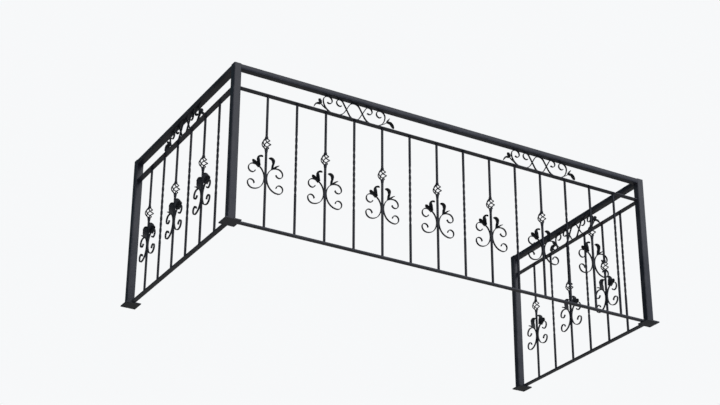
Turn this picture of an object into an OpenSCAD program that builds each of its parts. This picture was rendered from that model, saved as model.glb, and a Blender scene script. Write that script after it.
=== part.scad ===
// A U-shaped iron balcony railing: a front panel and two side panels on four posts.
// Millimetres. X runs along the front, +Y towards the wall, Z up from the underside of the base plates.

/* [Layout] */
// Distance between neighbouring front bars
front_spacing = 200; // [160:5:240]
// From a front post's centre to the nearest front bar
front_end_gap = 220; // [180:5:260]
// Distance between neighbouring side bars
side_spacing = 203; // [165:1:240]
// From a front post's centre to the first side bar
side_front_gap = 213; // [180:1:260]
// From the last side bar to the wall post's centre
side_wall_gap = 237; // [190:1:280]
// Height of the top rail above the floor
rail_height = 1050; // [950:5:1150]

/* [Posts and rails] */
// Side of the square post tube
post_w = 50; // [45:1:60]
// Corner radius of the post tube
post_corner = 8; // [4:0.5:10]
// Width of the top rail tube
top_rail_w = 50; // [40:1:54]
// Height of the top rail tube
top_rail_h = 34; // [28:1:38]
// Corner radius of the top rail tube
top_rail_corner = 10; // [5:0.5:13]
// Wall of the post and rail tubes
tube_wall = 2.5; // [2:0.5:4]
// Width of the flat frieze rail
frieze_rail_w = 38; // [30:1:38]
// Thickness of the flat frieze rail
frieze_rail_h = 5; // [4:0.5:8]
// Clear height of the frieze between its two rails
frieze_gap = 116; // [108:1:124]
// Width of the flat sole rail
sole_rail_w = 30; // [25:1:40]
// Thickness of the flat sole rail
sole_rail_h = 10; // [8:1:14]
// How far the front panel's bars stand in from the posts' middle line, towards the wall
front_setback = 6; // [0:1:10]

/* [Base plates] */
// Side of the square base plate
plate_w = 100; // [90:5:120]
// Thickness of the base plate
plate_h = 8; // [6:1:12]
// Distance between anchor holes
anchor_pitch = 72; // [68:1:76]
// Diameter of an anchor hole
anchor_d = 11; // [9:1:13]

/* [Bars] */
// Side of the square bars
bar_w = 12; // [10:1:14]
// Top of the twisted length above the floor
twist_top = 686; // [640:2:720]
// Foot of the twisted length above the floor
twist_foot = 264; // [220:2:300]
// Quarter turns along the twisted length
twist_quarters = 10; // [6:1:14]
// Middle of the basket above the floor
basket_z = 570; // [550:1:600]
// Length of the basket's four bent rods
basket_len = 80; // [70:1:95]
// Radius of the basket's belly at the middle of its rods
basket_r = 26; // [20:0.5:30]
// Thickness of a basket rod
basket_rod = 7; // [5:0.5:8]
// Turn of the basket rods from end to end
basket_turn = 242; // [180:2:360]
// Angle of the first basket rod at its foot
basket_start = 48; // [0:2:88]
// Length of the conical neck under a basket
neck_len = 28; // [18:1:36]

/* [Scrolls and leaves] */
// Width of the scroll strap, across the panel
strap_w = 12; // [8:1:14]
// Thickness of the scroll strap
strap_t = 5; // [4:0.5:6]
// Height of the weld between a scroll pair and its bar
scroll_z = 341; // [320:1:360]
// Width of a shoulder leaf, across the panel
leaf_w = 38; // [28:1:42]
// Width of a frieze's end leaf, across the panel
end_leaf_w = 33; // [22:1:38]
// Thickness of a leaf along its ridge
leaf_t = 4; // [3:0.5:5]

/* [Hidden] */
FRONT_BARS = 14;
SIDE_BARS = 6;
front_w = (FRONT_BARS - 1) * front_spacing + 2 * front_end_gap;
side_d = side_front_gap + (SIDE_BARS - 1) * side_spacing + side_wall_gap;
post_foot = plate_h;
sole_top = plate_h + sole_rail_h;
top_rail_foot = rail_height - top_rail_h;
frieze_rail_top = top_rail_foot - frieze_gap;
frieze_rail_foot = frieze_rail_top - frieze_rail_h;
// A front plate is centred on its post and a wall plate ends flush with the post's back
wall_plate_shift = plate_w / 2 - post_w / 2;
front_y = -(side_d + post_w / 2 - plate_w / 2) / 2;
wall_y = front_y + side_d;
left_x = -front_w / 2;
right_x = front_w / 2;
side_mid_y = front_y + side_d / 2;
front_frieze_x = 3.5 * front_spacing;
infill_y = front_y + front_setback;
// The rails' outer faces are flush with the posts
rail_shift = (top_rail_w - post_w) / 2;
collar_r = bar_w * 0.7;
collar_h = 8;
neck_r = bar_w * 0.94;
rod_root = bar_w * 0.22;
steel = [0.12, 0.12, 0.13];
// Straps are drawn in steps of this many degrees, and leaves in coarser ones
arc_step = 15;
leaf_step = 26;

front_bar_x = [for (i = [0:FRONT_BARS - 1]) left_x + front_end_gap + i * front_spacing];
side_bar_y = [for (i = [0:SIDE_BARS - 1]) front_y + side_front_gap + i * side_spacing];

// Points of a chain of arcs. Each segment is [radius, turn], left turns positive,
// or [0, length] for a straight one
function arc_chain(p, heading, segments, step, i = 0) =
    i == len(segments) ? [] :
    let (r = segments[i][0], amount = segments[i][1])
    r == 0 ?
        let (q = p + amount * [cos(heading), sin(heading)])
        concat([q], arc_chain(q, heading, segments, step, i + 1)) :
        let (s = sign(amount),
             steps = max(1, ceil(abs(amount) / step)),
             centre = p + s * r * [-sin(heading), cos(heading)],
             arc = [for (k = [1:steps]) let (a = heading + amount * k / steps)
                    centre + s * r * [sin(a), -cos(a)]])
        concat(arc, arc_chain(arc[steps - 1], heading + amount, segments, step, i + 1));

function path_of(start, heading, segments, step = arc_step) =
    concat([start], arc_chain(start, heading, segments, step));

// A path from its last point back to its second
function reversed(path) = [for (i = [len(path) - 1:-1:1]) path[i]];

// The whole of a path whose half starts on the line that it mirrors in
function mirrored_x(half) = concat([for (i = [len(half) - 1:-1:1]) [-half[i].x, half[i].y]], half);

function unit(v) = v / norm(v);

// Direction of a path at point i, from its neighbours
function tangent(path, i) = unit(path[min(i + 1, len(path) - 1)] - path[max(i - 1, 0)]);

// Outline of a strap of even thickness along a flat path
function strap_outline(path, t) =
    let (n = len(path) - 1,
         side = [for (i = [0:n]) let (d = tangent(path, i)) [-d.y, d.x] * t / 2])
    concat([for (i = [0:n]) path[i] + side[i]], [for (i = [n:-1:0]) path[i] - side[i]]);

// A strap on edge, drawn in the panel's plane and centred on it
module strap(path, t = strap_t, w = strap_w) {
    rotate([90, 0, 0])
        linear_extrude(height = w, center = true)
            polygon(strap_outline(path, t));
}

// Closed skin through rings of points, each ring with the same number of points
module skin(rings) {
    n = len(rings);
    m = len(rings[0]);
    points = [for (ring = rings) each ring];
    ends = [[for (j = [0:m - 1]) j], [for (j = [m - 1:-1:0]) (n - 1) * m + j]];
    sides = [for (i = [0:n - 2], j = [0:m - 1])
        let (a = i * m + j, b = i * m + (j + 1) % m)
        each [[b + m, b, a], [a + m, b + m, a]]];
    polyhedron(points = points, faces = concat(ends, sides), convexity = 6);
}

// Rings of a round section along a path in space, each turned to face the path
function round_rings(path, thickness, sides) =
    [for (i = [0:len(path) - 1])
        let (d = tangent(path, i),
             a = unit(cross(d, [0, 0, 1])),
             b = cross(d, a))
        [for (j = [0:sides - 1]) let (k = 360 * j / sides)
            path[i] + thickness / 2 * (cos(k) * a + sin(k) * b)]];

module square_bar(z0, z1) {
    translate([-bar_w / 2, -bar_w / 2, z0])
        cube([bar_w, bar_w, z1 - z0]);
}

// Corners of the square section at height z, turned by an angle
function square_ring(z, turn) =
    [for (j = [0:3]) let (a = 45 + 90 * j + turn) [bar_w / sqrt(2) * cos(a), bar_w / sqrt(2) * sin(a), z]];

// One bent rod of a basket, a helix whose radius swells to the belly
module basket_rod(start_angle) {
    rings = 10;
    skin(round_rings([for (i = [0:rings])
        let (f = i / rings,
             r = rod_root + (basket_r - rod_root) * sin(180 * f),
             a = start_angle + basket_turn * f)
        [r * cos(a), r * sin(a), basket_len * (f - 0.5)]], basket_rod, 5));
}

// Upright with a basket of four rods, a short collar above it and a conical neck under it
module basket_bar() {
    color(steel) {
        basket_top = basket_z + basket_len / 2;
        basket_foot = basket_z - basket_len / 2;
        square_bar(sole_top, basket_foot - collar_h / 2);
        square_bar(basket_top + collar_h / 2, frieze_rail_foot);
        translate([0, 0, basket_top - collar_h / 2])
            cylinder(h = 2 * collar_h, r1 = neck_r, r2 = collar_r, $fn = 32);
        translate([0, 0, basket_foot + collar_h - neck_len])
            cylinder(h = neck_len, r1 = collar_r, r2 = neck_r, $fn = 32);
        translate([0, 0, basket_z])
            for (k = [0:3])
                basket_rod(basket_start + k * 90);
    }
}

// Upright that is plain at both ends and twisted between them, in one skin of square rings
module twisted_bar() {
    rings = 3 * twist_quarters;
    twist_rings = [for (i = [0:rings])
        square_ring(twist_foot + (twist_top - twist_foot) * i / rings, 90 * twist_quarters * i / rings)];
    color(steel)
        skin(concat([square_ring(sole_top, 0)], twist_rings,
                    [square_ring(frieze_rail_foot, 90 * twist_quarters)]));
}

// The scroll beside a bar, from the weld up and round to one open end, and from the weld down
scroll_up = path_of([bar_w / 2 + strap_t / 2, 0], 90,
    [[90, -33], [66, -60], [33, -88], [24.5, -93], [20, -75]]);
scroll_down = path_of([bar_w / 2 + strap_t / 2, 0], -90,
    [[98, 30], [70, 60], [33.5, 92], [22, 101], [20.5, 80]]);
scroll_path = concat(reversed(scroll_down), scroll_up);

// Length of a path up to point i
function run_to(path, i) = i == 0 ? 0 : run_to(path, i - 1) + norm(path[i] - path[i - 1]);

// Share of a leaf's full width at a share f of its length: broad root, full blade, round tip
function leaf_share(f) = min(0.8 + f, 1, sqrt(1 - 0.8 * pow(max(0, f - 0.6) / 0.4, 2)));

// A stamped leaf along a flat path in the panel's plane. Its blade lies across the panel, with a ridge
// along both faces
module leaf(flat_path, width) {
    n = len(flat_path) - 1;
    skin([for (i = [0:n])
        let (d = tangent(flat_path, i),
             p = [flat_path[i].x, 0, flat_path[i].y],
             edge = [0, width / 2 * leaf_share(run_to(flat_path, i) / run_to(flat_path, n)), 0],
             ridge = leaf_t / 2 * [-d.y, 0, d.x])
        [p + edge, p + ridge, p - edge, p - ridge]]);
}

// The leaf pair on a scroll's shoulder: one out over the scroll, one up and back to the bar
module shoulder_leaves() {
    leaf(path_of([41, 68], 60, [[75, -47]], leaf_step / 2), leaf_w);
    leaf(path_of([42, 69], 72, [[0, 45], [24, 130], [10, 40]], leaf_step), leaf_w);
}

// Two scrolls back to back on a bar, with their leaves
module scroll_pair() {
    color(steel)
        translate([0, 0, scroll_z])
            for (m = [0, 1])
                mirror([m, 0, 0]) {
                    strap(scroll_path);
                    shoulder_leaves();
                }
}

// Straps of a frieze. Both cross at this slope on the frieze's middle line
strap_slope = 60;
frieze_top = frieze_gap / 2 - strap_t / 2;
cross_r = 43;
cross_run = (frieze_top - cross_r * (1 - cos(strap_slope))) / sin(strap_slope);
curl_r = 24;
curl_run = (frieze_top - curl_r * (1 - cos(strap_slope))) / sin(strap_slope);
bowl_r = 70;
bowl_run = (frieze_top - bowl_r * (1 - cos(strap_slope))) / sin(strap_slope);
end_r = 76;

// Arch under the top rail, then along the frieze rail and up into the end curl
outer_strap_half = path_of([0, frieze_top], 0,
    [[cross_r, -strap_slope], [0, cross_run + bowl_run], [bowl_r, strap_slope], [0, 15], [end_r, 90],
     [2 * frieze_top - end_r, 90], [27, 90], [21, 90], [14, 60]]);
// Bowl on the frieze rail, then up and out into the inner curl
inner_strap_half = path_of([0, -frieze_top], 0,
    [[cross_r, strap_slope], [0, cross_run + curl_run], [curl_r, -strap_slope], [curl_r, -90],
     [22, -90], [17, -50]]);

// The stem and leaf pair at one end of a frieze
module end_leaves() {
    strap(path_of([172, 4 - frieze_top], 30, [[0, 48], [60, 12], [0, 26]]), 4, 9);
    leaf(path_of([236, -7], 42, [[54, 36]], leaf_step / 2), end_leaf_w);
    leaf(path_of([236, -8], 8, [[0, 12], [30, -84], [0, 14]], leaf_step), end_leaf_w);
}

module frieze() {
    color(steel)
        translate([0, 0, frieze_rail_top + frieze_gap / 2]) {
            strap(mirrored_x(outer_strap_half));
            strap(mirrored_x(inner_strap_half));
            for (m = [0, 1])
                mirror([m, 0, 0])
                    end_leaves();
        }
}

// Rectangle with round corners
module round_rectangle(w, h, r) {
    square([w - 2 * r, h], center = true);
    square([w, h - 2 * r], center = true);
    for (x = [-1, 1], y = [-1, 1])
        translate([x * (w / 2 - r), y * (h / 2 - r)])
            circle(r = r, $fn = 32);
}

// Post's outer shape between two heights
module post_solid(z0, z1) {
    translate([0, 0, z0])
        linear_extrude(height = z1 - z0)
            round_rectangle(post_w, post_w, post_corner);
}

// Square tube with a closed top, open where it meets its base plate
module post() {
    inner_w = post_w - 2 * tube_wall;
    color(steel)
        difference() {
            post_solid(post_foot, rail_height);
            translate([0, 0, post_foot - 1])
                linear_extrude(height = rail_height - post_foot - tube_wall + 1)
                    round_rectangle(inner_w, inner_w, post_corner - tube_wall);
        }
}

// Square plate with four anchor holes
module base_plate() {
    difference() {
        translate([-plate_w / 2, -plate_w / 2, 0])
            cube([plate_w, plate_w, plate_h]);
        for (x = [-1, 1], y = [-1, 1])
            translate([x * anchor_pitch / 2, y * anchor_pitch / 2, -1])
                cylinder(h = plate_h + 2, d = anchor_d, $fn = 32);
    }
}

module base_plates() {
    color(steel)
        for (x = [left_x, right_x]) {
            translate([x, front_y, 0])
                base_plate();
            translate([x, wall_y - wall_plate_shift, 0])
                base_plate();
        }
}

// Rails are drawn along X, centred, with the panel's outer side towards -Y. Each reaches into the posts'
// round corners and is cut to fit round them
module cut_to_posts(span) {
    color(steel)
        difference() {
            children();
            for (x = [-1, 1])
                translate([x * span / 2, 0, 0])
                    post_solid(0, rail_height + 1);
        }
}

function rail_length(span) = span - post_w + 2 * post_corner;

module top_rail(span) {
    length = rail_length(span);
    cut_to_posts(span)
        translate([-length / 2, rail_shift, top_rail_foot + top_rail_h / 2])
            rotate([90, 0, 90])
                linear_extrude(height = length)
                    difference() {
                        round_rectangle(top_rail_w, top_rail_h, top_rail_corner);
                        round_rectangle(top_rail_w - 2 * tube_wall, top_rail_h - 2 * tube_wall,
                                        top_rail_corner - tube_wall);
                    }
}

module frieze_rail(span, setback = 0) {
    length = rail_length(span);
    cut_to_posts(span)
        translate([-length / 2, setback - frieze_rail_w / 2, frieze_rail_foot])
            cube([length, frieze_rail_w, frieze_rail_h]);
}

module sole_rail(span, setback = 0) {
    length = rail_length(span);
    cut_to_posts(span)
        translate([-length / 2, setback - sole_rail_w / 2, post_foot])
            cube([length, sole_rail_w, sole_rail_h]);
}

// Places a piece of a panel that is drawn about the panel's middle
module at_front() {
    translate([0, front_y, 0])
        children();
}

module at_left() {
    translate([left_x, side_mid_y, 0])
        rotate([0, 0, -90])
            children();
}

module at_right() {
    translate([right_x, side_mid_y, 0])
        rotate([0, 0, 90])
            children();
}

// Front bars alternate from the left, basket first; side bars from the front, twisted first
module on_front_basket(i) translate([front_bar_x[2 * i - 2], infill_y, 0]) children();
module on_front_twisted(i) translate([front_bar_x[2 * i - 1], infill_y, 0]) children();
module on_left_basket(i) translate([left_x, side_bar_y[2 * i - 1], 0]) rotate([0, 0, -90]) children();
module on_left_twisted(i) translate([left_x, side_bar_y[2 * i - 2], 0]) rotate([0, 0, -90]) children();
module on_right_basket(i) translate([right_x, side_bar_y[2 * i - 1], 0]) rotate([0, 0, 90]) children();
module on_right_twisted(i) translate([right_x, side_bar_y[2 * i - 2], 0]) rotate([0, 0, 90]) children();

translate([left_x, front_y, 0]) post();  // front_left_post
translate([right_x, front_y, 0]) post();  // front_right_post
translate([left_x, wall_y, 0]) post();  // wall_left_post
translate([right_x, wall_y, 0]) post();  // wall_right_post
base_plates();

at_front() top_rail(front_w);  // front_top_rail
at_left() top_rail(side_d);  // left_top_rail
at_right() top_rail(side_d);  // right_top_rail
at_front() frieze_rail(front_w, front_setback);  // front_frieze_rail
at_left() frieze_rail(side_d);  // left_frieze_rail
at_right() frieze_rail(side_d);  // right_frieze_rail
at_front() sole_rail(front_w, front_setback);  // front_sole_rail
at_left() sole_rail(side_d);  // left_sole_rail
at_right() sole_rail(side_d);  // right_sole_rail

translate([-front_frieze_x, infill_y, 0]) frieze();  // front_left_frieze
translate([front_frieze_x, infill_y, 0]) frieze();  // front_right_frieze
at_left() frieze();  // left_frieze
at_right() frieze();  // right_frieze

for (i = [1:7]) on_front_basket(i) scroll_pair();  // front_scroll_pairs
for (i = [1:3]) on_left_basket(i) scroll_pair();  // left_scroll_pairs
for (i = [1:3]) on_right_basket(i) scroll_pair();  // right_scroll_pairs

for (i = [1:7]) {
    on_front_basket(i) basket_bar();
    on_front_twisted(i) twisted_bar();
}
for (i = [1:3]) {
    on_left_basket(i) basket_bar();
    on_left_twisted(i) twisted_bar();
    on_right_basket(i) basket_bar();
    on_right_twisted(i) twisted_bar();
}
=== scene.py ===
"""Looks of a U-shaped iron balcony railing: posts, rails, twisted bars, basket bars, scrolls and friezes.

Metres. X runs along the front, +Y towards the wall, Z up from the underside of the base plates.
Pieces are closed skins: rings of points worked out as whole arrays, and quads between them. Only the base
plates are a flat sheet that modifiers thicken.
"""

import math

import bpy
import numpy as np
from mathutils import Matrix, Vector


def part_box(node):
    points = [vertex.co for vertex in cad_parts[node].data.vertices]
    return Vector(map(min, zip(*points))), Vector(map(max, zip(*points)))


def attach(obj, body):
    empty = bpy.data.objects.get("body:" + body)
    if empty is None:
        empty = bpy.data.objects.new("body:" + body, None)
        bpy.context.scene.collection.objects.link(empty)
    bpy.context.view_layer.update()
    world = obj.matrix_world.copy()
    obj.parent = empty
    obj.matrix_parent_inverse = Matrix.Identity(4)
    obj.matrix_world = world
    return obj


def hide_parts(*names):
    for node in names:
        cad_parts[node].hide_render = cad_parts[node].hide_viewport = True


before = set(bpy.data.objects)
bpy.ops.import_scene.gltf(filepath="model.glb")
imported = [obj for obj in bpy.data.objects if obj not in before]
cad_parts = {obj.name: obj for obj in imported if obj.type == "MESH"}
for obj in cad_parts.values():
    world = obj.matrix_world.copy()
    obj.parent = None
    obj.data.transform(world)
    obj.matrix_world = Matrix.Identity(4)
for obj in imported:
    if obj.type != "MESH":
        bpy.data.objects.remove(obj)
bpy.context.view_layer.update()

# Camera: its place, where it looks, in degrees, and its lens on a 36 mm sensor
CAMERA_PLACE = (-5.2554, -8.7137, -4.1895)
CAMERA_YAW = 29.891
CAMERA_PITCH = 26.157
CAMERA_ROLL = 0.259
CAMERA_LENS = 84.92

# Panels, as (name, turn in degrees, basket bars), and the turn of each frieze
PANELS = (("front", 0, 7), ("left", -90, 3), ("right", 90, 3))
FRIEZES = {"front_left_frieze": 0, "front_right_frieze": 0, "left_frieze": -90, "right_frieze": 90}

# Sections of the iron
BAR = 0.012
POST = 0.050
POST_CORNER = 0.008
TOP_RAIL_CORNER = 0.010
PLATE = 0.1
PLATE_THICK = 0.008
ANCHOR_PITCH = 0.072
ANCHOR_HOLE = 0.011
BAR_CORNER = 0.0011
STRAP_WIDE = 0.012
STRAP_THICK = 0.005
STRAP_CORNER = 0.0014

# Weld beads: their radius round a bar, round a post and along a scroll, how far they stand from the face that
# they lie on, how far along +Y from its middle a wall post's bead may reach, because its back is flush with
# its plate, and how far heat marks the paint
BEAD = 0.0026
BEAD_LIFT = 0.0008
POST_BEAD = 0.0034
POST_BEAD_LIFT = 0.0012
SCROLL_BEAD = 0.0018
WALL_BEAD_REACH = 0.0248
HEAT_REACH = 0.06
POST_HEAT_REACH = 0.12

# Bars
TWIST_FOOT = 0.264
TWIST_TOP = 0.686
TWIST_QUARTERS = 10
BASKET_MIDDLE = 0.570
BASKET_LENGTH = 0.080
BASKET_REACH = 0.026
BASKET_ROD = 0.007
BASKET_TURN = 242
BASKET_START = 48
COLLAR = 0.0084
COLLAR_LENGTH = 0.016
NECK = 0.0112
NECK_LENGTH = 0.028
NECK_SIDES = 24

# Scrolls, as arcs of [radius, turn in degrees] from the weld outwards, and the welds, as (foot, top), on both
# edges of the strap
SCROLL_MIDDLE = 0.341
SCROLL_UP = [[0.090, -33], [0.066, -60], [0.033, -88], [0.0245, -93], [0.020, -75]]
SCROLL_DOWN = [[0.098, -30], [0.070, -60], [0.0335, -92], [0.022, -101], [0.0205, -80]]
SCROLL_WELDS = ((-0.023, -0.003), (0.001, 0.021))
SCROLL_WELD_AT = 0.0045

# Leaves, each path as its start (x, z), its heading in degrees, and its arcs
OUTER_LEAF = ((0.041, 0.068), 60, [[0.075, -47]])
INNER_LEAF = ((0.042, 0.069), 72, [[0, 0.045], [0.024, 130], [0.010, 40]])
UPPER_END_LEAF = ((0.236, -0.007), 42, [[0.054, 36]])
LOWER_END_LEAF = ((0.236, -0.008), 8, [[0, 0.012], [0.030, -84], [0, 0.014]])
LEAF_WIDE = 0.038
END_LEAF_WIDE = 0.033
LEAF_THICK = 0.002
LEAF_CUP = 0.4
LOBES = 3.5
UPPER_END_LOBES = 2.5
LOBE_DEPTH = 0.13
VEIN_HEIGHT = 0.0013
VEINS = 2.5
VEIN_SLANT = 1.4

# Friezes: the slope at which straps cross, the radii of their bends, and the stem with the end leaves
CROSS_SLOPE = 60
CROSS_RADIUS = 0.043
INNER_CURL = 0.024
BOWL_RADIUS = 0.070
BOWL_RUN = 0.015
END_RADIUS = 0.076
STEM_START = 0.172
STEM_WIDE = 0.009
STEM_THICK = 0.004

# Smoothness of what is drawn: degrees of arc in a step, points round a rod and a bead, and a leaf's rings
# and the points across one face of it
ARC_STEP = 6
ROD_SIDES = 10
BEAD_SIDES = 7
LEAF_RINGS = 36
LEAF_POINTS = 29

# Paint on each kind of iron, as (colour, roughness, specular level, depth of dents in metres, dust, rust),
# and the colours of what lies on it or shows through it
PAINTS = {
    "tube": ((0.012, 0.013, 0.019), 0.30, 0.4, 0.00008, 0.40, -0.02),
    "bar": ((0.007, 0.008, 0.012), 0.36, 0.24, 0.00030, 0.25, 0.0),
    "scroll": ((0.006, 0.007, 0.009), 0.34, 0.24, 0.00030, 0.22, -0.03),
    "plate": ((0.016, 0.017, 0.020), 0.42, 0.4, 0.00020, 0.5, 0.06),
}
DUST = (0.19, 0.175, 0.16, 1)
BARE_IRON = (0.15, 0.145, 0.15, 1)
DARK_RUST = (0.085, 0.032, 0.014, 1)
LIGHT_RUST = (0.21, 0.083, 0.03, 1)

# Lamps, as (place, strength, angle in degrees)
KEY_LIGHT = ((3, -6, 8), 0.7, 50)
FILL_LIGHT = ((-6, -6, 4), 0.25, 60)
LIT_SPOT = (0, 0, 0.6)

# Surroundings: the world's strength as light, its colours as seen and as it lights the iron, and the
# floor's colour, its half side and its gap under the plates
WORLD_LIGHT = 0.5
PALE_SKY = (0.93, 0.94, 0.95, 1)
FRONT_SKY = (0.80, 0.86, 1.0, 1)
BACK_SKY = (0.05, 0.075, 0.085, 1)
GROUND_SKY = (0.24, 0.235, 0.22, 1)
FLOOR_COLOUR = (0.80, 0.80, 0.79, 1)
FLOOR_HALF = 30
FLOOR_GAP = 0.001


class Skins:
    """Closed skins for one mesh. A skin is an (n, m, 3) array: n rings of m points, anticlockwise as seen
    from ahead. Each point has two marks: how worn its edge is, and how near a weld it lies."""

    def __init__(self, parts=()):
        self.parts = list(parts)

    def __add__(self, other):
        return Skins(self.parts + other.parts)

    def add(self, rings, worn=0.0, weld=0.0, loop=False):
        """loop joins the last ring to the first, and otherwise both ends are capped."""
        marks = [np.broadcast_to(mark, rings.shape[:2]) for mark in (worn, weld)]
        self.parts.append((rings, np.stack(marks, axis=-1), loop))

    def placed(self, turn=0, spot=(0.0, 0.0, 0.0)):
        """The skins turned about Z by an angle in degrees, then moved."""
        cosine, sine = math.cos(math.radians(turn)), math.sin(math.radians(turn))
        matrix = np.array([[cosine, -sine, 0], [sine, cosine, 0], [0, 0, 1]])
        place = np.array(spot)
        return Skins([(rings @ matrix.T + place, marks, loop) for rings, marks, loop in self.parts])

    def mirrored(self):
        """The skins seen in a mirror at X = 0, each ring reversed so that faces still point outwards."""
        flip = np.array([-1.0, 1.0, 1.0])
        return Skins([(rings[:, ::-1] * flip, marks[:, ::-1], loop) for rings, marks, loop in self.parts])

    def mesh(self, name):
        """One mesh of all the skins, with the two marks as attributes of its points."""
        points, marks, faces, count = [], [], [], 0
        for rings, mark, loop in self.parts:
            rows, around = rings.shape[:2]
            index = np.arange(rows * around).reshape(rows, around) + count
            count += rows * around
            if not loop:
                faces += [index[0, ::-1].tolist(), index[-1].tolist()]
            ahead = np.roll(index, -1, axis=0) if loop else index[1:]
            here = index if loop else index[:-1]
            quads = np.stack([here, np.roll(here, -1, 1), np.roll(ahead, -1, 1), ahead], axis=-1)
            faces += quads.reshape(-1, 4).tolist()
            points.append(rings.reshape(-1, 3))
            marks.append(mark.reshape(-1, 2))
        mesh = bpy.data.meshes.new(name)
        mesh.from_pydata(np.concatenate(points).tolist(), [], faces)
        for column, attribute in enumerate(("edge_wear", "weld_heat")):
            values = np.concatenate(marks)[:, column].astype(np.float32)
            mesh.attributes.new(attribute, "FLOAT", "POINT").data.foreach_set("value", values)
        mesh.shade_smooth()
        mesh.set_sharp_from_angle(angle=math.radians(40))
        return mesh


def box_section(wide, high, corner, steps=3, run=0.0016):
    """Outline of a rectangle with round corners, and its wear: each corner is a quarter circle with a point
    on the flat a short run away at either side, and its wear is the sine of twice the angle round it."""
    turn = np.radians(np.linspace(0, 90, steps + 1))
    centre = np.array([wide / 2 - corner, high / 2 - corner])
    arc = centre + corner * np.stack([np.cos(turn), np.sin(turn)], axis=1)
    first = [[wide / 2, max(high / 2 - corner - run, 0.0)]]
    last = [[max(wide / 2 - corner - run, 0.0), high / 2]]
    quarter = np.concatenate([first, arc, last])
    outline = np.concatenate([quarter, (quarter * [-1, 1])[::-1], -quarter, (quarter * [1, -1])[::-1]])
    return outline, np.tile(np.r_[0.0, np.sin(2 * turn), 0.0], 4)


def round_section(radius, sides):
    """Circle of a radius, as a polygon."""
    turn = np.arange(sides) * 2 * np.pi / sides
    return radius * np.stack([np.cos(turn), np.sin(turn)], axis=1)


def upright(section, levels, turns=0.0, scales=1.0):
    """A section carried up the Z axis: at each level it is scaled, and turned by an angle in degrees."""
    turns = np.radians(np.broadcast_to(turns, levels.shape))[:, None]
    scales = np.broadcast_to(scales, levels.shape)[:, None]
    x = scales * (section[:, 0] * np.cos(turns) - section[:, 1] * np.sin(turns))
    y = scales * (section[:, 0] * np.sin(turns) + section[:, 1] * np.cos(turns))
    return np.stack([x, y, np.broadcast_to(levels[:, None], x.shape)], axis=-1)


def unit(vectors):
    """Vectors of length 1 in the same directions."""
    return vectors / np.linalg.norm(vectors, axis=-1, keepdims=True)


def sweep(path, section, across=(0.0, 1.0, 0.0), wide=1.0, high=1.0, loop=False):
    """A section carried along a path in space. Its first axis lies along across, and its second one at a
    right angle to both that and the path. wide and high scale the two along the path."""
    if loop:
        ahead = np.roll(path, -1, axis=0) - np.roll(path, 1, axis=0)
    else:
        ahead = np.gradient(path, axis=0)
    ahead = unit(ahead)
    across = np.broadcast_to(across, path.shape)
    other = np.cross(ahead, across)
    wide = np.broadcast_to(wide, len(path))[:, None, None]
    high = np.broadcast_to(high, len(path))[:, None, None]
    return path[:, None] + wide * section[:, :1] * across[:, None] + high * section[:, 1:] * other[:, None]


def arcs(start, heading, segments, step=ARC_STEP):
    """Points (x, 0, z) along a chain of arcs [radius, turn], left turns positive, or straights [0, length].
    Each arc is its centre plus the radius at evenly spaced angles."""
    points = [np.array([start], float)]
    for radius, amount in segments:
        here = points[-1][-1]
        angle = math.radians(heading)
        if radius == 0:
            points.append(here + np.linspace(0, amount, 4)[1:, None] * [math.cos(angle), math.sin(angle)])
            continue
        side = math.copysign(1, amount)
        centre = here + side * radius * np.array([-math.sin(angle), math.cos(angle)])
        count = max(1, math.ceil(abs(amount) / step))
        turn = np.radians(heading + amount * np.arange(1, count + 1) / count)
        points.append(centre + side * radius * np.stack([np.sin(turn), -np.cos(turn)], axis=1))
        heading += amount
    flat = np.concatenate(points)
    return np.stack([flat[:, 0], np.zeros(len(flat)), flat[:, 1]], axis=1)


def distance_along(path):
    """How far along a path each of its points lies."""
    steps = np.linalg.norm(np.diff(path, axis=0), axis=1)
    return np.concatenate([[0.0], np.cumsum(steps)])


def square_bar(skins, low, high, more_levels=(), turn_at=None):
    """A bar from one level to another. Rings crowd at its ends, where the weld's heat fades."""
    ends = np.array([0, 0.006, 0.02, HEAT_REACH])
    levels = np.unique(np.concatenate([low + ends, high - ends, np.asarray(more_levels)]))
    outline, worn = box_section(BAR, BAR, BAR_CORNER)
    turns = 0.0 if turn_at is None else turn_at(levels)
    heat = np.clip(1 - np.minimum(levels - low, high - levels) / HEAT_REACH, 0, 1)
    skins.add(upright(outline, levels, turns), worn, heat[:, None])


def bead_round(skins, side, level, size=BEAD, reach=math.inf):
    """Weld bead round a bar: a small round section carried round a square with round corners, its radius
    rippled by two sines, as each dab of weld leaves it. Nothing of it lies farther along +Y than reach."""
    loop, _ = box_section(side + size * 0.6, side + size * 0.6, size, steps=4)
    loop = np.concatenate([loop, loop[:1]])
    run = distance_along(loop)
    even = np.linspace(0, run[-1], 57)[:-1]
    around = [np.interp(even, run, loop[:, axis]) for axis in (0, 1)]
    path = np.stack([*around, np.full(len(even), level)], axis=1)
    phase = level * 900 + side * 300
    dabs = 2 * np.pi * 14 * even / run[-1]
    ripple = 1 + 0.16 * np.sin(dabs + phase) + 0.1 * np.sin(even * 170 + phase)
    rings = sweep(path, round_section(size, BEAD_SIDES), (0.0, 0.0, 1.0), ripple, ripple, loop=True)
    rings[..., 1] = np.minimum(rings[..., 1], reach)
    skins.add(rings, 0.1, 1.0, loop=True)


def bead_line(skins, x, y, low, high, size):
    """Short upright weld bead, its radius rippled by a sine and tapered at both ends as an ellipse."""
    f = np.linspace(0, 1, 14)
    path = np.stack([np.full(len(f), x), np.full(len(f), y), low + (high - low) * f], axis=1)
    ripple = (1 + 0.18 * np.sin(f * 34)) * np.sqrt(np.clip(4 * f * (1 - f), 0.05, 1))
    skins.add(sweep(path, round_section(size, BEAD_SIDES - 1), (-1.0, 0.0, 0.0), ripple, ripple), 0.1, 1.0)


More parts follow.
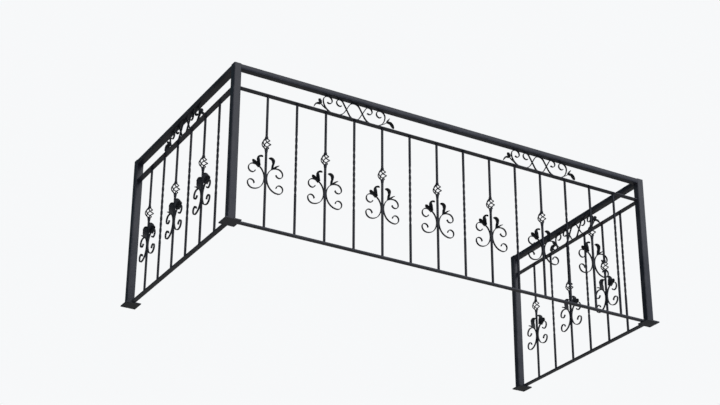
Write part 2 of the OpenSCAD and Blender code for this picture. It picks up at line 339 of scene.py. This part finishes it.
def twisted_bar(low, high):
    """Bar with a twisted middle: the turn rises evenly from the twist's foot to its top, eased at both."""
    skins = Skins()
    twist = np.linspace(TWIST_FOOT, TWIST_TOP, 181)

    def turn_at(levels):
        """The twist's turn at each level, in degrees."""
        f = np.clip((levels - TWIST_FOOT) / (TWIST_TOP - TWIST_FOOT), 0, 1)
        return TWIST_QUARTERS * 90 * (f - np.sin(2 * np.pi * f) * 0.012)

    square_bar(skins, low, high, twist, turn_at)
    return skins


def neck(skins, low, high, below, above):
    """Forged neck between two levels: its radius eases from one to the other, and its rims are rounded."""
    f = np.array([0.0, 0.04, 0.12, 0.3, 0.5, 0.7, 0.86, 0.95, 1.0])
    radius = below + (above - below) * (3 * f**2 - 2 * f**3)
    radius[[0, -1]] *= 0.72
    radius[[1, -2]] *= 0.93
    skins.add(upright(round_section(1.0, NECK_SIDES), low + (high - low) * f, 0.0, radius), 0.15, 0.5)


def basket_bar(low, high):
    """Bar with a basket: four round rods, each a helix whose radius swells as a sine to the belly, gathered
    in a conical neck below and a short collar above."""
    skins = Skins()
    foot, top = BASKET_MIDDLE - BASKET_LENGTH / 2, BASKET_MIDDLE + BASKET_LENGTH / 2
    square_bar(skins, low, foot - COLLAR_LENGTH / 4)
    square_bar(skins, top + COLLAR_LENGTH / 4, high)
    neck(skins, foot + COLLAR_LENGTH / 2 - NECK_LENGTH, foot + COLLAR_LENGTH / 2, COLLAR, NECK)
    neck(skins, top - COLLAR_LENGTH / 4, top + COLLAR_LENGTH * 3 / 4, NECK, COLLAR)
    f = np.linspace(0, 1, 45)
    root = BAR * 0.22
    for rod in range(4):
        radius = root + (BASKET_REACH - root) * np.sin(np.pi * f)
        turn = np.radians(BASKET_START + 90 * rod + BASKET_TURN * f)
        path = np.stack([radius * np.cos(turn), radius * np.sin(turn), foot + BASKET_LENGTH * f], axis=1)
        across = unit(np.cross(unit(np.gradient(path, axis=0)), [0.0, 0.0, 1.0]))
        skins.add(sweep(path, round_section(BASKET_ROD / 2, ROD_SIDES), across), 0.12, 0.0)
    return skins


def strap(skins, path, wide=STRAP_WIDE, thick=STRAP_THICK):
    """Flat strap on edge along a path, a little thicker towards its open ends, and rounded off there."""
    outline, worn = box_section(wide, thick, STRAP_CORNER, steps=2, run=0.0008)
    run = distance_along(path)
    left = np.minimum(run, run[-1] - run)
    swell = 1 + 0.35 * np.exp(-((left - 0.004) / 0.006) ** 2)
    swell *= np.where(left < 1e-6, 0.6, 1.0)
    skins.add(sweep(path, outline, (0.0, 1.0, 0.0), 1.0, swell), worn, 0.0)


def leaf(skins, shape, wide, lobes=LOBES):
    """Pressed acanthus leaf along a chain of arcs, its blade across the panel. The half width starts broad
    at the root and closes as an ellipse at the tip, with lobes along the rim. The sheet is cupped by the
    square of the distance from its middle, towards the side that the arcs curl to. Veins are a cosine of
    that distance, slanted towards the tip, beside a deeper middle vein."""
    path = arcs(*shape)
    run = distance_along(path)
    f = 1 - (1 - np.linspace(0, 1, LEAF_RINGS)) ** 1.5
    line = np.stack([np.interp(f * run[-1], run, path[:, k]) for k in range(3)], axis=1)
    ahead = unit(np.gradient(line, axis=0))
    other = np.cross(ahead, [0.0, 1.0, 0.0])
    curl = np.sign(ahead[0, 0] * ahead[-1, 2] - ahead[0, 2] * ahead[-1, 0])
    root = 0.92 + 0.08 * np.sin(np.pi / 2 * np.clip(f / 0.25, 0, 1)) ** 2
    tip = np.sqrt(np.clip(1 - (np.clip(f - 0.6, 0, 1) / 0.402) ** 2.4, 0.004, 1))
    lobe = 1 - LOBE_DEPTH * np.clip(f * 2, 0.3, 1) * np.abs(np.sin(f * np.pi * lobes)) ** 0.7
    half = (wide / 2 * root * tip * lobe)[:, None]
    across = np.cos(np.linspace(0, np.pi, LEAF_POINTS))
    side = np.concatenate([across, across[-2:0:-1]])[None, :]
    face = np.r_[np.ones(LEAF_POINTS), -np.ones(LEAF_POINTS - 2)][None, :]
    sheet = face * (1 - side**2 * 0.75) * LEAF_THICK / 2
    edge = np.abs(side) ** 2
    swell = np.sin(np.pi * f**1.4)[:, None]
    slant = f[:, None] * VEIN_SLANT - np.abs(side) * VEINS
    vein = VEIN_HEIGHT * np.cos(slant * 2 * np.pi) * np.abs(side) ** 0.7 * (0.3 + 0.7 * swell)
    middle = -VEIN_HEIGHT * np.exp(-(side / 0.12) ** 2) * (1 - f[:, None])
    press = (vein + middle) * np.clip(f * 5, 0, 1)[:, None]
    height = sheet + curl * edge * half * LEAF_CUP * (0.15 + 0.85 * swell) + press
    rings = line[:, None] + (half * side)[..., None] * [0.0, 1.0, 0.0] + height[..., None] * other[:, None]
    skins.add(rings, edge * 0.8, 0.0)


def scroll_half():
    """One scroll of a pair with its two leaves, for the bar's right side."""
    skins = Skins()
    start = (BAR / 2 + STRAP_THICK / 2, 0.0)
    up = arcs(start, 90, SCROLL_UP)
    down = arcs(start, 90, SCROLL_DOWN) * [1, 1, -1]
    strap(skins, np.concatenate([down[:0:-1], up]))
    leaf(skins, OUTER_LEAF, LEAF_WIDE)
    leaf(skins, INNER_LEAF, LEAF_WIDE)
    for foot, top in SCROLL_WELDS:
        for y in (-SCROLL_WELD_AT, SCROLL_WELD_AT):
            bead_line(skins, BAR / 2, y, foot, top, SCROLL_BEAD)
    return skins


def scroll_pair():
    """The two scrolls of a bar, one the mirror of the other, at their level."""
    half = scroll_half()
    return (half + half.mirrored()).placed(0, (0, 0, SCROLL_MIDDLE))


def frieze(clear):
    """Frieze in the clear height between two rails: an outer strap that arches under the top rail, crosses
    down, bows along the lower rail and curls up at both ends, an inner strap that hangs as a bowl and curls
    in, and a stem with two leaves at each end."""
    top = clear / 2 - STRAP_THICK / 2
    slope = math.radians(CROSS_SLOPE)

    def run_to_middle(radius):
        """Length of straight from a bend to the middle height: what the bend leaves over, by its slope."""
        return (top - radius * (1 - math.cos(slope))) / math.sin(slope)

    arch = [[CROSS_RADIUS, -CROSS_SLOPE], [0, run_to_middle(CROSS_RADIUS) + run_to_middle(BOWL_RADIUS)]]
    bow = [[BOWL_RADIUS, CROSS_SLOPE], [0, BOWL_RUN]]
    outer_end = [[END_RADIUS, 90], [2 * top - END_RADIUS, 90], [0.027, 90], [0.021, 90], [0.014, 60]]
    bowl = [[CROSS_RADIUS, CROSS_SLOPE], [0, run_to_middle(CROSS_RADIUS) + run_to_middle(INNER_CURL)]]
    inner_end = [[INNER_CURL, -CROSS_SLOPE], [INNER_CURL, -90], [0.022, -90], [0.017, -50]]
    skins = Skins()
    for half in (arcs((0, top), 0, arch + bow + outer_end), arcs((0, -top), 0, bowl + inner_end)):
        strap(skins, np.concatenate([half[:0:-1] * [-1, 1, 1], half]))
    ends = Skins()
    stem = arcs((STEM_START, STEM_THICK - top), 30, [[0, 0.048], [0.060, 12], [0, 0.026]])
    strap(ends, stem, STEM_WIDE, STEM_THICK)
    leaf(ends, UPPER_END_LEAF, END_LEAF_WIDE, UPPER_END_LOBES)
    leaf(ends, LOWER_END_LEAF, END_LEAF_WIDE)
    return skins + ends + ends.mirrored()


def rail(clear, wide, high, corner, setback):
    """Straight rail along X in the clear width between two posts, standing in from their middle line by
    setback. Its ends are cut to the posts: past the flat of a post they follow its corner, a circle."""
    ends = np.array([0, 0.01, 0.03, HEAT_REACH])
    levels = np.concatenate([-clear / 2 + ends, (clear / 2 - ends)[::-1]])
    outline, worn = box_section(wide, high, corner, steps=6)
    path = np.stack([levels, np.zeros(len(levels)), np.zeros(len(levels))], axis=1)
    rings = sweep(path, outline)
    past_flat = np.clip(np.abs(outline[:, 0] + setback) - (POST / 2 - POST_CORNER), 0, POST_CORNER)
    reach = POST_CORNER - np.sqrt(POST_CORNER**2 - past_flat**2)
    rings[0, :, 0] -= reach
    rings[-1, :, 0] += reach
    heat = np.clip(1 - (clear / 2 - np.abs(levels)) / HEAT_REACH, 0, 1)
    skins = Skins()
    skins.add(rings, worn, heat[:, None])
    return skins


def post(foot, top, bead_reach):
    """Square tube with round corners, its cap rounded at the rim, on a weld bead."""
    outline, worn = box_section(POST, POST, POST_CORNER, steps=6, run=0.003)
    ends = np.array([0, 0.01, 0.04, POST_HEAT_REACH, 0.3])
    rim = np.array([0.0016, 0.0009, 0.0004, 0.0])
    shrink = 1 - np.array([0.0, 0.0006, 0.0018, 0.0034]) / POST
    levels = np.concatenate([foot + ends, top - rim])
    scales = np.concatenate([np.ones(len(ends)), shrink])
    heat = np.clip(1 - (levels - foot) / POST_HEAT_REACH, 0, 1)
    skins = Skins()
    edge = np.concatenate([np.zeros(len(ends)), [0.4, 1.0, 1.0, 0.3]])[:, None]
    skins.add(upright(outline, levels, 0.0, scales), np.maximum(worn, edge), heat[:, None])
    bead_round(skins, POST, foot + POST_BEAD_LIFT, POST_BEAD, bead_reach)
    return skins


def plate_quarter():
    """A quarter of a base plate's sheet: lines from its hole's rim out to the quarter's square edge."""
    turn = np.radians(np.arange(0, 360, 7.5))
    direction = np.stack([np.cos(turn), np.sin(turn)], axis=1)
    centre = ANCHOR_PITCH / 2
    hole = centre + ANCHOR_HOLE / 2 * direction
    far = np.where(direction > 0, PLATE / 2 - centre, centre)
    reach = (far / np.maximum(np.abs(direction), 1e-9)).min(axis=1, keepdims=True)
    square = centre + reach * direction
    f = np.array([0.0, 0.12, 0.5, 1.0])[:, None, None]
    return hole + (square - hole) * f


class Finish:
    """A material in the making. node() adds any node: its settings first, then the values or links of its
    sockets, and it returns one of its outputs."""

    def __init__(self, name, owner=None):
        self.material = owner or bpy.data.materials.new(name)
        self.material.use_nodes = True
        self.tree = self.material.node_tree
        self.tree.nodes.clear()

    def node(self, kind, settings=None, inputs=None, output=0):
        made = self.tree.nodes.new("ShaderNode" + kind)
        for key, value in (settings or {}).items():
            setattr(made, key, value)
        for key, value in (inputs or {}).items():
            if isinstance(value, Socket):
                self.tree.links.new(value.out, made.inputs[key])
            else:
                made.inputs[key].default_value = value
        return Socket(self, made.outputs[output]) if made.outputs else None

    def noise(self, place, scale, detail=3.0, roughness=0.55):
        inputs = {"Vector": place, "Scale": scale, "Detail": detail, "Roughness": roughness}
        return self.node("TexNoise", {}, inputs)

    def ramp(self, value, low, high):
        """0 below low, 1 above high, and a smooth step between them."""
        settings = {"interpolation_type": "SMOOTHSTEP"}
        return self.node("MapRange", settings, {"Value": value, "From Min": low, "From Max": high})

    def mix(self, share, first, second):
        """Colour between two: the first where share is 0."""
        return self.node("Mix", {"data_type": "RGBA"}, {0: share, 6: first, 7: second}, output=2)


class Socket:
    """A node's output. Sums on it add Math nodes."""

    def __init__(self, finish, out):
        self.finish = finish
        self.out = out

    def maths(self, operation, first, second):
        return self.finish.node("Math", {"operation": operation}, {0: first, 1: second})

    def __add__(self, other):
        return self.maths("ADD", self, other)

    def __sub__(self, other):
        return self.maths("SUBTRACT", self, other)

    def __mul__(self, other):
        return self.maths("MULTIPLY", self, other)

    def __rsub__(self, other):
        return self.maths("SUBTRACT", other, self)

    __radd__ = __add__
    __rmul__ = __mul__


def iron_paint(name, tone, gloss, shine, forged, dust, rust):
    """Semi-gloss black paint on iron. tone is its colour, gloss its roughness, shine its specular level,
    forged the depth of the dents under it in metres, dust the most dust on a level face, and rust how far
    it spreads from welds."""
    finish = Finish(name)
    place = finish.node("TexCoord", output=3)
    streaky = finish.node("Mapping", {}, {"Vector": place, "Scale": (1.0, 1.0, 0.12)})
    broad = finish.noise(place, 5.0, 3.0)
    cloud = finish.noise(place, 38.0, 4.0)
    speck = finish.noise(place, 420.0, 3.0, 0.6)
    streak = finish.noise(streaky, 46.0, 4.0)
    peel = finish.noise(place, 900.0, 2.0, 0.5)
    hammered = {"Vector": place, "Scale": 95.0, "Smoothness": 0.6}
    dent = finish.node("TexVoronoi", {"feature": "SMOOTH_F1"}, hammered)

    worn = finish.node("Attribute", {"attribute_name": "edge_wear"}, output=2)
    heat = finish.node("Attribute", {"attribute_name": "weld_heat"}, output=2)
    normal = finish.node("NewGeometry", {}, {}, output=1)
    facing = finish.node("SeparateXYZ", {}, {"Vector": normal}, output=2)

    chipped = finish.ramp(worn * (cloud * 0.75 + speck * 0.6), 0.66, 0.84)
    dusty = finish.ramp(facing, 0.75, 1.0) * finish.ramp(cloud + broad * 0.6, 0.45, 1.05) * dust
    grimy = finish.ramp(streak, 0.5, 0.78) * dust * 0.22 + finish.ramp(broad, 0.42, 0.66) * dust * 0.28
    rusty = finish.ramp(heat * 0.42 + cloud * 0.5 + speck * 0.28 + rust, 0.83, 0.98)

    light = tuple(part * 1.6 + 0.004 for part in tone)
    colour = finish.mix(finish.ramp(broad * 0.6 + cloud * 0.4, 0.3, 0.7), (*tone, 1), (*light, 1))
    colour = finish.mix(dusty + grimy, colour, DUST)
    colour = finish.mix(chipped * 0.75, colour, BARE_IRON)
    rust_colour = finish.mix(finish.ramp(speck, 0.35, 0.65), DARK_RUST, LIGHT_RUST)
    colour = finish.mix(rusty, colour, rust_colour)

    rough = gloss + cloud * 0.12 + (dusty + grimy) * 0.5 + chipped * 0.1 + rusty * 0.4
    height = peel * 0.00006 + dent * forged + rusty * speck * 0.0006 + streak * 0.00012
    bump = finish.node("Bump", {}, {"Strength": 1.0, "Distance": 1.0, "Height": height})
    shader = finish.node("BsdfPrincipled", {}, {
        "Base Color": colour, "Roughness": rough, "Metallic": chipped * 0.4, "Normal": bump,
        "Specular IOR Level": shine})
    finish.node("OutputMaterial", {}, {"Surface": shader})
    return finish.material


def show(node, mesh, material):
    """Puts a mesh in the scene as the piece that stands for a CAD node."""
    piece = bpy.data.objects.new(node + "_iron", mesh)
    bpy.context.scene.collection.objects.link(piece)
    mesh.materials.append(material)
    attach(piece, "root")
    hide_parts(node)
    return piece


def middle_of(node):
    """The middle of a CAD node's box."""
    low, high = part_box(node)
    return (low + high) / 2


def build_railing():
    """Every piece of the railing, one for each CAD node, placed by that node's box."""
    paints = {kind + "_iron": iron_paint(kind + "_paint", *look) for kind, look in PAINTS.items()}

    def piece(node, skins, slot_name, turn=0, spot=(0, 0, 0)):
        """Places skins as the piece of a node."""
        mesh = skins.placed(turn, spot).mesh(node + "_iron")
        show(node, mesh, paints[slot_name])

    for corner in ("front_left", "front_right", "wall_left", "wall_right"):
        low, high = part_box(corner + "_post")
        spot = ((low.x + high.x) / 2, (low.y + high.y) / 2, 0)
        reach = WALL_BEAD_REACH if corner.startswith("wall") else math.inf
        piece(corner + "_post", post(low.z, high.z, reach), "tube_iron", 0, spot)

    base_plates(paints["plate_iron"])

    for side, turn, pairs in PANELS:
        span = middle_of("front_right_post") - middle_of("front_left_post")
        if turn != 0:
            span = middle_of("wall_left_post") - middle_of("front_left_post")
        for kind, corner in (("top", TOP_RAIL_CORNER), ("frieze", BAR_CORNER), ("sole", BAR_CORNER)):
            node = f"{side}_{kind}_rail"
            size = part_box(node)[1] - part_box(node)[0]
            wide = size.x if turn else size.y
            setback = 0 if turn else middle_of(node).y - middle_of("front_left_post").y
            skins = rail(span.xy.length - POST, wide, size.z, corner, setback)
            piece(node, skins, "tube_iron", turn, middle_of(node))
        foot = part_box(f"{side}_sole_rail")[1].z
        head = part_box(f"{side}_frieze_rail")[0].z
        pair = scroll_pair()
        pairs_here = Skins()
        for number in range(1, pairs + 1):
            for kind, make in (("twisted", twisted_bar), ("basket", basket_bar)):
                node = f"{side}_{kind}_bar_{number}"
                spot = middle_of(node)
                spot.z = 0
                skins = make(foot, head)
                bead_round(skins, BAR, foot + BEAD_LIFT)
                bead_round(skins, BAR, head - BEAD_LIFT)
                piece(node, skins, "bar_iron", turn, spot)
                if kind == "basket":
                    pairs_here = pairs_here + pair.placed(turn, spot)
        piece(f"{side}_scroll_pairs", pairs_here, "scroll_iron")

    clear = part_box("front_top_rail")[0].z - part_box("front_frieze_rail")[1].z
    for node, turn in FRIEZES.items():
        spot = middle_of(node)
        spot.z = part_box("front_frieze_rail")[1].z + clear / 2
        piece(node, frieze(clear), "scroll_iron", turn, spot)


def base_plates(paint):
    """The four plates: a sheet with four holes each, thickened and with its edges eased."""
    quarter = plate_quarter()
    rows, around = quarter.shape[:2]
    index = np.arange(rows * around).reshape(rows, around)
    quads = np.stack([index[:-1], index[1:], np.roll(index[1:], -1, 1), np.roll(index[:-1], -1, 1)], -1)
    points, faces, count = [], [], 0
    low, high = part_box("base_plates")
    for x in (low.x + PLATE / 2, high.x - PLATE / 2):
        for y in (low.y + PLATE / 2, high.y - PLATE / 2):
            for flip_x in (1, -1):
                for flip_y in (1, -1):
                    flat = quarter.reshape(-1, 2) * [flip_x, flip_y] + [x, y]
                    order = slice(None) if flip_x * flip_y > 0 else slice(None, None, -1)
                    points.append(np.column_stack([flat, np.full(len(flat), PLATE_THICK)]))
                    faces += (quads.reshape(-1, 4)[:, order] + count).tolist()
                    count += len(flat)
    mesh = bpy.data.meshes.new("base_plates_iron")
    mesh.from_pydata(np.concatenate(points).tolist(), [], faces)
    for attribute, value in (("edge_wear", 0.25), ("weld_heat", 0.5)):
        values = np.full(count, value, np.float32)
        mesh.attributes.new(attribute, "FLOAT", "POINT").data.foreach_set("value", values)
    plates = show("base_plates", mesh, paint)
    weld = plates.modifiers.new("join", "WELD")
    weld.merge_threshold = 0.00005
    sheet = plates.modifiers.new("thickness", "SOLIDIFY")
    sheet.thickness = PLATE_THICK
    sheet.offset = -1
    ease = plates.modifiers.new("eased_edges", "BEVEL")
    ease.width = 0.0008
    ease.segments = 2
    ease.limit_method = "ANGLE"


def add_camera():
    """The camera where the photograph was taken: far below the railing and to its left."""
    yaw, pitch, roll = (math.radians(angle) for angle in (CAMERA_YAW, CAMERA_PITCH, CAMERA_ROLL))
    ahead = Vector((math.sin(yaw) * math.cos(pitch), math.cos(yaw) * math.cos(pitch), math.sin(pitch)))
    level = Vector((math.cos(yaw), -math.sin(yaw), 0))
    above = level.cross(ahead)
    right = level * math.cos(roll) + above * math.sin(roll)
    up = above * math.cos(roll) - level * math.sin(roll)
    camera = bpy.data.objects.new("camera", bpy.data.cameras.new("camera"))
    camera.data.lens = CAMERA_LENS
    camera.data.sensor_width = 36
    camera.data.clip_end = 200
    axes = Matrix((right, up, -ahead)).transposed().to_4x4()
    camera.matrix_world = Matrix.Translation(CAMERA_PLACE) @ axes
    bpy.context.scene.collection.objects.link(camera)
    bpy.context.scene.camera = camera


def add_lamp(name, place, energy, spread):
    """A sun lamp that shines from a place to the railing, soft over its spread in degrees."""
    lamp = bpy.data.objects.new(name, bpy.data.lights.new(name, "SUN"))
    lamp.data.energy = energy
    lamp.data.angle = math.radians(spread)
    lamp.location = place
    lamp.rotation_euler = (Vector(LIT_SPOT) - Vector(place)).to_track_quat("-Z", "Y").to_euler()
    bpy.context.scene.collection.objects.link(lamp)


def add_light_and_floor():
    """Two soft lamps from the front and above, and a world that is pale in front of the railing and dim
    behind and over it. Seen straight, the world is one pale colour. The pale floor lies just under the
    plates, and from below, or in anything but a straight view, it doesn't show."""
    add_lamp("key_light", *KEY_LIGHT)
    add_lamp("fill_light", *FILL_LIGHT)

    world = bpy.data.worlds.new("pale_surroundings")
    bpy.context.scene.world = world
    sky = Finish(world.name, world)
    way = sky.node("TexCoord", output="Generated")
    behind = sky.node("SeparateXYZ", {}, {"Vector": way}, output=1)
    height = sky.node("SeparateXYZ", {}, {"Vector": way}, output=2)
    back_share = 1 - (1 - sky.ramp(behind, -0.35, 0.45)) * (1 - sky.ramp(height, 0.5, 0.95))
    back = sky.mix(sky.ramp(height, -0.3, 0.05), GROUND_SKY, BACK_SKY)
    around = sky.mix(back_share, FRONT_SKY, back)
    camera_ray, glossy_ray, through_ray = (
        sky.node("LightPath", output=f"Is {kind} Ray") for kind in ("Camera", "Glossy", "Transmission"))
    straight = camera_ray.maths("MAXIMUM", camera_ray, through_ray)
    colour = sky.mix(straight, around, PALE_SKY)
    strength = straight.maths("MAXIMUM", straight, glossy_ray) * (1 - WORLD_LIGHT) + WORLD_LIGHT
    background = sky.node("Background", {}, {"Color": colour, "Strength": strength})
    sky.node("OutputWorld", {}, {"Surface": background})

    square = ((-1, -1), (1, -1), (1, 1), (-1, 1))
    corners = [(x * FLOOR_HALF, y * FLOOR_HALF, -FLOOR_GAP) for x, y in square]
    mesh = bpy.data.meshes.new("floor")
    mesh.from_pydata(corners, [], [(0, 1, 2, 3)])
    floor = bpy.data.objects.new("floor", mesh)
    bpy.context.scene.collection.objects.link(floor)
    finish = Finish("floor_paint")
    below = finish.node("NewGeometry", output="Backfacing")
    unseen = 1 - finish.node("LightPath", output="Is Camera Ray")
    paint = finish.node("BsdfPrincipled", {}, {"Base Color": FLOOR_COLOUR, "Roughness": 0.8})
    clear = finish.node("BsdfTransparent")
    surface = finish.node("MixShader", {}, {0: below.maths("MAXIMUM", below, unseen), 1: paint, 2: clear})
    finish.node("OutputMaterial", {}, {"Surface": surface})
    mesh.materials.append(finish.material)


add_camera()
build_railing()
add_light_and_floor()
bpy.context.scene.view_settings.view_transform = "Standard"
